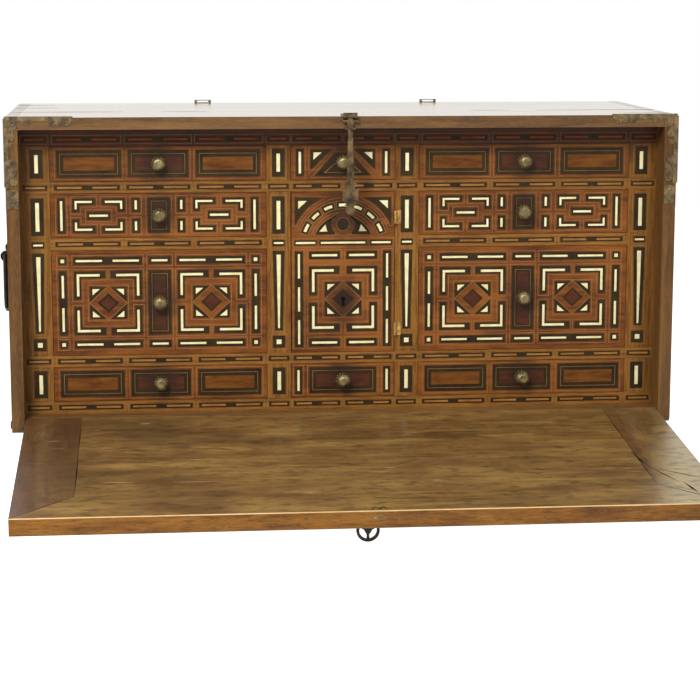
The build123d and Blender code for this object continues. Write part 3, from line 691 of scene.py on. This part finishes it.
# The tall drawers: strips all round, two square mazes with lozenges, and a tall dark panel.
tall = framed_panel(0, 0, 34, 98, "red", 8.6)
for x in (-145, 144.5):
    tall += field(block(x, 0, 12, 98)) + [("bone", block(x, 25, 3.4, 34)), ("bone", block(x, -25, 3.4, 36))]
    for z in (-63, 64):
        tall += bar(x, z, 12, 11.5, 5.4, 5.4)
for z in (-63, 64):
    tall += bar(0, z, 33.5, 11.5, 24, 3.1)
    for x in (-77.5, 77.5):
        tall += field(block(x, z, 102, 11.5))
        tall += [("bone", block(x - 28, z, 39, 3.1)), ("bone", block(x + 27, z, 39, 3.1))]
for x in (-77.5, 77.5):
    for sx, sz in quarters:
        tall += corner(x + sx * 51, sz * 48.5, x + sx * 4, sz * 5.5, 10.8, 3.6, 4.4)
    tall += star(x, 0, 27.5, 24.5, 16) + [("red_top", diamond(x, 0, 11.5, 10.8))]

# The drawer over the door: a bar at each end, and a dark gable between two triangles.
over_door = bar(-65, 0, 12, 41.5, 3.6, 32.5) + bar(65.5, 0, 12, 41.5, 3.6, 32.5)
for side in (-1, 1):
    over_door += field(mirrored([(49, 20), (17, 20), (49, -11)], side))
    over_door += [("bone", mirrored([(44.5, 15.2), (32, 15.2), (44.5, 4.5)], side))]
over_door += field([(-42.5, -20), (42.5, -20), (12, 14), (-12, 14)])
over_door += [("thread", [(-29, -15.5), (29, -15.5), (0, 9)])]
over_door += [("field", [(-26, -14.6), (26, -14.6), (0, 7.5)])]

# The drawer under the door: a bar at each end and one long dark panel.
under_door = bar(-68, 0, 10.8, 41, 3.4, 32) + bar(67.5, 0, 10.8, 41, 3.4, 32)
under_door += framed_panel(0, 0, 103, 40.5, "red")

bank = tuple(zip(rows, (shallow, upper, tall, shallow)))
patterns = {f"{side}_{row}": pattern for side in ("left", "right") for row, pattern in bank}
patterns |= {"centre_top": over_door, "centre_bottom": under_door}
for name, pattern in patterns.items():
    inlay(f"{name}_inlay", f"{name}_drawer", middle_of(f"{name}_drawer_front"), pattern, front_wood)


# The door: an arch of seven bone voussoirs over a roundel, and below it a maze round the keyhole.
def arc(z, radius, start, end, steps):
    """Points on a circle over the door's middle, in degrees from straight up to the right."""
    degrees = [start + (end - start) * step / steps for step in range(steps + 1)]
    return [(radius * sin(radians(turn)), z + radius * cos(radians(turn))) for turn in degrees]


def disc(radius):
    """A round piece of the roundel."""
    return arc(roundel_z, radius, 0, 345, 23)


def voussoir(middle, half, inner, outer, steps):
    """A piece of the arch between two radii, half wide on both sides of its middle, in degrees."""
    low, high = middle - half, middle + half
    return arc(arch_z, outer, low, high, steps) + arc(arch_z, inner, high, low, steps)


door_x, door_z = middle_of("door_panel")
arch_z, base_z, roundel_z, head_z = 272.2 - door_z, 289.0 - door_z, 305 - door_z, 345.5 - door_z
strip_z, maze_z = 276.8 - door_z, 190.8 - door_z
curve = [(x, z) for x, z in arc(arch_z, 79, 21, 66, 10) if z < head_z]
spandrel = [(73, curve[-1][1]), (73, head_z), (29, head_z)] + curve
tympanum = [(44.5, base_z), (12, base_z)] + arc(roundel_z, 18, 135, 30, 8) + arc(arch_z, 46, 12, 68, 8)
door = []
for side in (-1, 1):
    door += field(mirrored(spandrel, side))
    door += [("bone", mirrored([(68, head_z - 5), (55, head_z - 5), (68, head_z - 17)], side))]
    door += [("line", grown(mirrored(tympanum, side), 0.8)), ("ebony", mirrored(tympanum, side))]
    door += [("bone", mirrored([(36, base_z + 5), (24, base_z + 5), (27, base_z + 15.5)], side))]
for count in range(-3, 4):
    stone = voussoir(count * 21.3, 8.8, 56.5, 67.5, 4)
    door += [("line", grown(stone, 0.9)), ("ebony", stone)]
    door += [("bone", voussoir(count * 21.3, 5.8, 59.8, 64.1, 2))]
door += [("line", voussoir(0, 70, 72.3, 73.0, 24)), ("line", voussoir(0, 70, 50.5, 51.2, 24))]
door += [("thread", disc(10.3)), ("field", disc(9.5)), ("line", disc(18.9)), ("ground", disc(18.2))]
for x, wide, bone_wide in ((-57, 34, 29.5), (0, 72, 67.5), (58, 34, 29)):
    door += bar(x, strip_z, wide, 8.4, bone_wide, 2.9)
for side in (-1, 1):
    door += field(block(side * 67.2, maze_z, 12.6, 147))
    for z in (50.5, 0, -50.5):
        door += [("bone", block(side * 67.2, maze_z + z, 3.2, 37))]
    for z in (67, -67):
        door += bar(side * 28.3, maze_z + z, 47, 12, 38.5, 3.4)
    for sz in (-1, 1):
        door += corner(side * 52, maze_z + sz * 50.3, side * 5.5, maze_z + sz * 5.5, 12, 3.8, 4.6)
door += star(0, maze_z, 28, 26, 16.5)
# The keyhole: a near-black piece over the inlay, painted shade for the hole under it.
door += [("keyhole", arc(maze_z, 3.6, -145, 145, 12) + [(2.5, maze_z - 11), (-2.5, maze_z - 11)])]
inlay("door_inlay", "door", (door_x, door_z), door, front_wood)


# The rails: strips of dashes in line with the drawers, and one dash over each pilaster. Rails and
# pilasters are in millimetres from the middle of the case and from its foot.
def dashes(x, z, wide, kind, single=False):
    """A rail's strip: ebonised, with one long dash or two with a dark square between them."""
    strip = field(block(x, z, wide, 7.6))
    if single:
        return strip + [(kind, block(x, z, wide - 7, 2.9))]
    length = wide / 2 - 12
    return strip + [(kind, block(x + side * (8 + length / 2), z, length, 2.9)) for side in (-1, 1)]


rail_heights = {"top_rail": 434.5, "upper": 363.0, "middle": 278.2, "lower": 100.6, "base": 29.8}
for label, z in rail_heights.items():
    kind, ground = ("brick", shade_wood) if label == "top_rail" else ("bright", rail_wood)
    pattern = []
    for side in (-1, 1):
        for x, wide in ((-106, 97), (0, 95), (105.5, 97)):
            pattern += dashes(side * 277 + x, z, wide, kind)
        if label != "middle":
            pattern += dashes(side * 97.5, z, 31, kind, single=True)
            pattern += dashes(side * 460, z, 36, kind, single=True)
            pattern += dashes(side * 39.5, z, 71, kind)
    inlay(f"{label}_rail_inlay", "case", (0, 0), pattern, ground)

# The pilasters: upright bars, a small cross bar, a long wedge and a dot, the same on all four.
post_bars = (
    (398.5, 19, 42.5, 5.3, 27), (319.5, 19, 56, 5.6, 43), (277.2, 18.5, 9.6, 14.2, 2.8),
    (126, 19, 18.5, 7.2, 7), (65.5, 19.5, 41.5, 5.4, 29),
)
posts = []
for x in (-457.5, -97.5, 97.5, 457.5):
    for z, *size in post_bars:
        posts += bar(x, z, *size)
    posts += field([(x - 6, 143.5), (x + 6, 143.5), (x + 9, 265), (x - 9, 265)])
    posts += [("bone", [(x - 1.3, 147), (x + 1.3, 147), (x + 3.2, 259.5), (x - 3.2, 259.5)])]
inlay("pilaster_inlay", "case", (0, 0), posts, post_wood)

# ---- Drawers and door --------------------------------------------------------
# Ten drawers run on guide boards behind the rails. Each has a red-brown walnut front that sits flush
# in its opening, and a plain pine tray. The door of the middle bay is a panel of the same walnut.
drawers = list(patterns)
dress(front_wood, "door_panel", *(f"{name}_drawer_front" for name in drawers))
dress(pine, *(f"{name}_drawer_tray" for name in drawers))

# ---- Fall --------------------------------------------------------------------
# The writing flap: one wide walnut panel, clamped at both ends by cleats that are mitred in front.
# Its inner face is waxed and marked by ink, water and use; its arris carries a painted highlight, a pale
# strip where light glints along it.
writing_face = ((84, 60, 28), (146, 112, 56), (180, 144, 78))
left_end_face = ((62, 38, 20), (98, 66, 36), (130, 98, 56))
# The right cleat's tones are paler than the left's: partly stain, partly painted sheen.
right_end_face = ((74, 50, 24), (124, 92, 48), (158, 124, 70))
edge_tones = ((76, 42, 12), (138, 86, 24), (164, 112, 40))
arris_highlight_tones = ((196, 150, 90), (226, 188, 128), (240, 212, 158))
pivot = Vector((0.0, -0.189, 0.011))
out_of_face = Vector((0.0, -0.0993, 0.9951))     # the open fall hangs 5.7 degrees below level
out_of_edge = Vector((0.0, -0.9951, -0.0993))
face_rise = 0.009        # the writing face over the pivot
stain_places = (         # across, out from the pivot, half length, half width, strength
    (-0.30, 0.08, 0.09, 0.05, 0.8), (-0.20, 0.12, 0.08, 0.035, 0.8), (-0.12, 0.135, 0.05, 0.03, 0.7),
    (0.0, 0.115, 0.08, 0.025, 0.7), (-0.207, 0.363, 0.03, 0.02, 0.6), (0.253, 0.363, 0.035, 0.02, 0.6),
    (0.143, 0.116, 0.035, 0.02, 0.7), (-0.40, 0.26, 0.05, 0.10, 0.6), (-0.36, 0.03, 0.12, 0.05, 0.7),
    (0.40, 0.05, 0.09, 0.05, 0.5),
)


def make_stains():
    """Old marks on the writing face, and a pale zone that is partly painted sheen: 1 inside with a ragged
    border, 0 outside.
    """
    group, given, result = new_group("writing_stains", ("Stain", "Ring", "Fleck", "Mottle", "Haze"))
    place = given["Position"]

    def vector_node(operation, *values):
        node = new_node(group, "VectorMath")
        node.operation = operation
        for socket, value in zip(node.inputs, values):
            fill(group, socket, value)
        return node.outputs

    ragged = noise(group, place, 16.0, 5.0, 0.6)
    border = calc(group, "MULTIPLY", calc(group, "SUBTRACT", ragged, 0.5), 1.6)
    stain = between(group, noise(group, place, 4.5, 4.0, 0.6, 0.5), 0.54, 0.72, 0.0, 0.7)
    for x, out, reach_x, reach_out, strength in stain_places:
        apart = vector_node("SUBTRACT", place, (x, pivot.y + out_of_edge.y * out, 0.0))["Vector"]
        squeezed = vector_node("MULTIPLY", apart, (1 / reach_x, 1 / reach_out, 0.0))["Vector"]
        uneven = calc(group, "ADD", vector_node("LENGTH", squeezed)["Value"], border)
        stain = calc(group, "MAXIMUM", stain, between(group, uneven, 0.4, 1.25, strength, 0.0))
    rubbed = noise(group, stretched(group, place, (1.0, 12.0, 1.0)), 11.0, 5.0, 0.65)
    flecks = noise(group, stretched(group, place, (36.0, 92.0, 92.0)), 1.0, 5.0, 0.62, 0.15)
    clouds = noise(group, stretched(group, place, (11.0, 28.0, 28.0)), 1.0, 5.0, 0.62, 0.15)
    # A pale zone over the right-hand cleat, reaching further in toward the front, with a slanting ragged
    # boundary: partly wax haze and stains, partly painted sheen.
    slant = calc(group, "MULTIPLY", axes(group, place)["Y"], -0.22)
    edge = calc(group, "ADD", axes(group, place)["X"], slant)
    edge = calc(group, "ADD", edge, calc(group, "MULTIPLY", ragged, 0.03))
    join(
        group, result, Stain=stain, Ring=between(group, rubbed, 0.66, 0.74),
        Fleck=between(group, flecks, 0.51, 0.64), Mottle=between(group, clouds, 0.42, 0.64),
        Haze=between(group, edge, 0.525, 0.565),
    )
    return group


writing_stains = make_stains()


def stained(material):
    """Puts the marks, the rubbed pale scratches and a pale zone that is partly painted sheen on a
    writing-face wood.
    """
    tree, shader, clean = finish_of(material)
    marks = placed(tree, writing_stains, Position=own_place(tree))
    join(tree, shader, Base_Color=layered(tree, clean, (
        (marks["Mottle"], 0.6, srgb(104, 68, 38)),
        (marks["Haze"], 0.8, srgb(178, 158, 104)),
        (marks["Stain"], 0.7, srgb(62, 42, 22)),
        (marks["Fleck"], 0.6, srgb(58, 40, 24)),
        (marks["Ring"], 0.3, srgb(184, 156, 106)),
    )))


out_to_edge = (9.0, 0.9, 9.0)
fall_long = wood("fall_walnut", along_case, writing_face, blotch=0.7, streaks=0.5, gloss=0.34, coat=0.3)
fall_left = wood("fall_walnut_left_cleat", out_to_edge, left_end_face, blotch=0.7, gloss=0.36, coat=0.2)
fall_right = wood("fall_walnut_right_cleat", out_to_edge, right_end_face, blotch=0.7, gloss=0.36, coat=0.2)
for face_wood in (fall_long, fall_left, fall_right):
    stained(face_wood)
edge_grain = (2.4, 16.0, 16.0)
fall_edge = wood(
    "fall_edge_walnut", edge_grain, edge_tones, blotch=0.8, streaks=0.7, gloss=0.45, specular=0.25
)
panel_back = wood("fall_outside_walnut", along_case, outside, coat=0.05, specular=0.25)
cleat_back = wood("cleat_outside_walnut", out_to_edge, outside, coat=0.05, specular=0.25)
# A pale strip on the arris: a painted highlight.
arris_painted_highlight = wood("arris_painted_highlight", along_case, arris_highlight_tones, gloss=0.35, coat=0.3)
edge_slot, arris_slot, right_slot, back_slot = 1, 2, 3, 4
for node, face_wood, back_wood in (
    ("fall_panel", fall_long, panel_back), ("fall_cleats", fall_left, cleat_back),
):
    dress(face_wood, node)
    mesh = nodes[node].data
    for other in (fall_edge, arris_painted_highlight, fall_right, back_wood):
        mesh.materials.append(other)
    for face in mesh.polygons:
        up = face.normal.dot(out_of_face)
        out = face.normal.dot(out_of_edge)
        if up < -0.3 or abs(face.normal.x) > 0.7:
            face.material_index = back_slot
        elif out > 0.92:
            face.material_index = edge_slot
        elif out > 0.15 and up > 0.15 and face.center.y < -0.6:
            face.material_index = arris_slot
        elif node == "fall_cleats" and face.center.x > 0:
            face.material_index = right_slot


# Dark joints between the panel and its cleats, splits at the right-hand end, and pale scratches.
def on_fall(x, out, rise):
    """A place on the writing face: across, out from the pivot, and above the face."""
    return pivot + Vector((x, 0, 0)) + out_of_edge * out + out_of_face * (face_rise + rise)


def face_lines(name, lines, material, rise=0.0001):
    """One piece of many thin pointed ribbons on the writing face: start, end and width."""
    shape = bmesh.new()
    for start, end, wide in lines:
        start, end = Vector(start), Vector(end)
        along = (end - start).normalized()
        side = Vector((-along.y, along.x)) * wide / 2
        middle = (start + end) / 2
        ring = (start, middle + side, end, middle - side)
        upper_side = [on_fall(x, out, rise) for x, out in ring]
        prism(shape, upper_side, [on_fall(x, out, -ribbon_sink) for x, out in ring])
    bmesh.ops.recalc_face_normals(shape, faces=shape.faces)
    finished(name, shape, [material], "fall")


joints = []
for side in (-1, 1):
    inner, outer = side * 0.397, side * 0.479
    joints += [((inner, 0.016), (inner, 0.18), 0.0016), ((inner, 0.15), (inner, 0.357), 0.0018)]
    joints += [((inner, 0.356), (outer, 0.4385), 0.0018)]
end_splits = [
    ((0.392, 0.21), (0.405, 0.29), 0.003), ((0.405, 0.285), (0.43, 0.35), 0.0024),
    ((0.41, 0.29), (0.479, 0.345), 0.0022), ((0.436, 0.35), (0.446, 0.40), 0.004),
]
face_lines("cleat_joints", joints + end_splits, split_dark)

scratches = [
    ((-0.27, 0.305), (-0.19, 0.307), 0.0016), ((-0.36, 0.302), (-0.32, 0.303), 0.0014),
    ((0.03, 0.262), (0.05, 0.263), 0.003), ((-0.31, 0.035), (-0.295, 0.036), 0.003),
    ((-0.24, 0.21), (-0.22, 0.21), 0.002), ((0.09, 0.32), (0.105, 0.322), 0.004),
]
hand = Random(11)
for _ in range(46):
    x = hand.uniform(-0.45, 0.45)
    out = hand.uniform(0.03, 0.42)
    reach = hand.uniform(0.006, 0.03)
    tilt = hand.uniform(-0.004, 0.004)
    scratches.append(((x, out), (x + reach, out + tilt), hand.uniform(0.0005, 0.0013)))
wax_tones = ((140, 116, 80), (176, 152, 112), (206, 186, 146))
scratched_wax = wood("scratched_wax", along_case, wax_tones, gloss=0.5)
face_lines("writing_scratches", scratches, scratched_wax, 0.00008)

# The keeper let into the arris, which the lock closes on: a small iron plate with two ears and a
# front. Each part is given by its middle across and its width, its middle out and its depth, and its
# foot above the face and its height.
keeper_parts = (
    (0.005, 0.020, 0.4325, 0.012, -0.002, 0.0026),
    (0.000, 0.004, 0.4335, 0.008, 0.0004, 0.0022),
    (0.010, 0.004, 0.4335, 0.008, 0.0004, 0.0022),
    (0.005, 0.016, 0.4389, 0.0012, -0.0115, 0.0090),
)
head_share = 0.92        # the filed top of a part, of its foot
keeper = bmesh.new()
for x, wide, out, deep, rise, high in keeper_parts:
    corners = [(sx * wide / 2, so * deep / 2) for sx, so in quarters]
    top = [on_fall(x + head_share * dx, out + head_share * do, rise + high) for dx, do in corners]
    prism(keeper, top, [on_fall(x + dx, out + do, rise) for dx, do in corners])
bmesh.ops.recalc_face_normals(keeper, faces=keeper.faces)

# ---- Ironwork ----------------------------------------------------------------
# Knobs, hasp, hinge, mounts, handles, lock and key are forged and filed iron. The mounts keep some
# of an old yellowish wash, the hasp is browned, the knobs are rubbed grey, and the key is black.


def make_hammered():
    """Hammered iron: shallow dents, and old oil and dirt in uneven darker patches."""
    group, given, result = new_group("hammered_iron", ("Color", "Dents"), colours=("Dark", "Light"))
    dents = between(group, noise(group, given["Position"], 160.0, 3.0), 0.3, 0.7)
    tone = between(group, noise(group, given["Position"], 90.0, 6.0, 0.65), 0.36, 0.64)
    join(group, result, Color=colour_mix(group, tone, given["Dark"], given["Light"]), Dents=dents)
    return group


hammered = make_hammered()


def wrought(name, dark, light, rough=0.42, metal=0.85):
    """Forged metal, oiled and darkened, in uneven darker and paler patches."""
    material, tree, shader = surface(name)
    beaten = placed(tree, hammered, Position=own_place(tree), Dark=srgb(*dark), Light=srgb(*light))
    join(
        tree, shader, Base_Color=beaten["Color"], Metallic=metal,
        Normal=relief(tree, beaten["Dents"], 0.0004),
        Roughness=between(tree, beaten["Dents"], 0, 1, rough - 0.08, rough + 0.12),
    )
    return material


knob_iron = wrought("rubbed_iron", (72, 62, 36), (138, 122, 80), 0.4, 0.6)
hasp_iron = wrought("browned_iron", (46, 37, 23), (116, 92, 60), 0.4, 0.66)
mount_iron = wrought("washed_iron", (58, 44, 26), (124, 102, 64), 0.5, 0.35)
black_iron = wrought("black_iron", (20, 18, 18), (46, 40, 36))
brass = wrought("old_brass", (112, 80, 38), (204, 162, 88), 0.34)
finished("arris_keeper", keeper, [knob_iron], "fall")
dress(brass, "door_hinge_leaves", "door_hinge_pins")
dress(knob_iron, "back_staples", *(f"{name}_knob" for name in drawers))
dress(hasp_iron, "hasp", "hasp_hinge")
dress(mount_iron, "corner_mounts")
dress(black_iron, "handle_plates", "left_handle", "right_handle", "fall_pivots")
dress(black_iron, "lock_plate", "lock_bolt", "key", "door_lock", "door_bolt")


def turns(count):
    """Even turns round a circle."""
    return [2 * pi * step / count for step in range(count)]


dome_profile = ((1.0, -0.3), (1.0, 0.1), (0.8, 0.6), (0.42, 0.93))   # shares of radius and height
dome_sides = 8


def domes(name, body, material, heads):
    """Low round heads, each a closed cap: its centre, the way it faces, its radius and its height."""
    shape = bmesh.new()
    for centre, out, radius, high in heads:
        out = Vector(out).normalized()
        side = out.orthogonal().normalized()
        over = out.cross(side)
        rings = []
        for reach, rise in dome_profile:
            middle = Vector(centre) + out * high * rise
            rings.append([
                shape.verts.new(middle + (side * cos(turn) + over * sin(turn)) * radius * reach)
                for turn in turns(dome_sides)
            ])
        shape.faces.new(list(reversed(rings[0])))
        shape.faces.new(rings[-1])
        for low, up in zip(rings, rings[1:]):
            for i in range(dome_sides):
                j = (i + 1) % dome_sides
                shape.faces.new((low[i], low[j], up[j], up[i]))
    finished(name, shape, [material], body)


# Beads round each knob's rosette.
ahead = (0, -1, 0)
bead_ring = 0.0098       # radius of the ring of beads
for name in drawers:
    x, z = (place / 1000 for place in middle_of(f"{name}_knob"))
    beads = [
        ((x + bead_ring * sin(turn), face_y, z + bead_ring * cos(turn)), ahead, 0.0016, 0.0018)
        for turn in turns(14)
    ]
    domes(f"{name}_rosette_beads", f"{name}_drawer", knob_iron, beads)

# Chased florets on the corner mounts: a boss in six petals. In millimetres: in from the corner of the
# case, down from its top, and the reach of the petals.
case_half, case_top = 0.5, 0.47
mount_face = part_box("corner_mounts")[0].y
floret_places = (
    (90.5, 6.5, 6.5), (79.0, 7.5, 5.0), (69.0, 7.0, 5.5), (34.5, 6.5, 5.0), (27.0, 6.0, 4.0),
    (12.4, 11.0, 7.5), (8.5, 20.5, 5.0), (10.0, 28.0, 5.5), (8.0, 40.0, 4.0), (9.5, 66.0, 6.0),
    (11.5, 76.0, 7.0), (10.5, 86.0, 6.5), (12.0, 94.0, 6.0),
)
mount_nail_places = (    # across and up, with the nail's radius and height
    (0.49, 0.343, 0.0022, 0.0012), (0.49, 0.359, 0.0022, 0.0012), (0.454, 0.4675, 0.0018, 0.001),
    (0.442, 0.4675, 0.0018, 0.001), (0.497, 0.422, 0.0018, 0.001), (0.497, 0.412, 0.0018, 0.001),
)
florets = []
mount_nails = []
for side in (-1, 1):
    for inward, down, reach in floret_places:
        x, z, reach = side * (case_half - inward / 1000), case_top - down / 1000, reach / 1000
        florets.append(((x, mount_face, z), ahead, reach * 0.34, 0.0011))
        for turn in turns(6):
            petal = (x + reach * 0.62 * sin(turn), mount_face, z + reach * 0.62 * cos(turn))
            florets.append((petal, ahead, reach * 0.2, 0.0007))
    for x, z, radius, high in mount_nail_places:
        mount_nails.append(((side * x, mount_face, z), ahead, radius, high))
domes("mount_florets", "case", mount_iron, florets)
domes("mount_nails", "case", knob_iron, mount_nails)

# Nails through the handle plates, the hasp's hinge and the lock plate. A handle plate lies at these
# places out, along and up, and its nails stand this far from its middle.
plate_out, plate_y, handle_z, plate_nail = 0.5016, 0.058, 0.25, 0.0125
plate_nails = [
    ((side * plate_out, y + dy * plate_nail, handle_z + dz * plate_nail), (side, 0, 0), 0.0026, 0.0016)
    for side in (-1, 1) for y in (-plate_y, plate_y) for dy, dz in quarters
]
domes("handle_plate_nails", "case", black_iron, plate_nails)
hasp_x, hinge_top = 0.006, 0.472
hinge_nails = [((hasp_x, y, hinge_top), (0, 0, 1), 0.0026, 0.0014) for y in (-0.174, -0.184)]
domes("hasp_hinge_nails", "case", hasp_iron, hinge_nails)
lock_out, lock_back = 0.314, -0.0271     # middle of the lock plate, and its outer face
lock_nails = [
    (on_fall(hasp_x + sx * 0.041, lock_out + so * 0.04, lock_back), -out_of_face, 0.003, 0.0018)
    for sx, so in quarters
]
domes("lock_plate_nails", "fall", knob_iron, lock_nails)
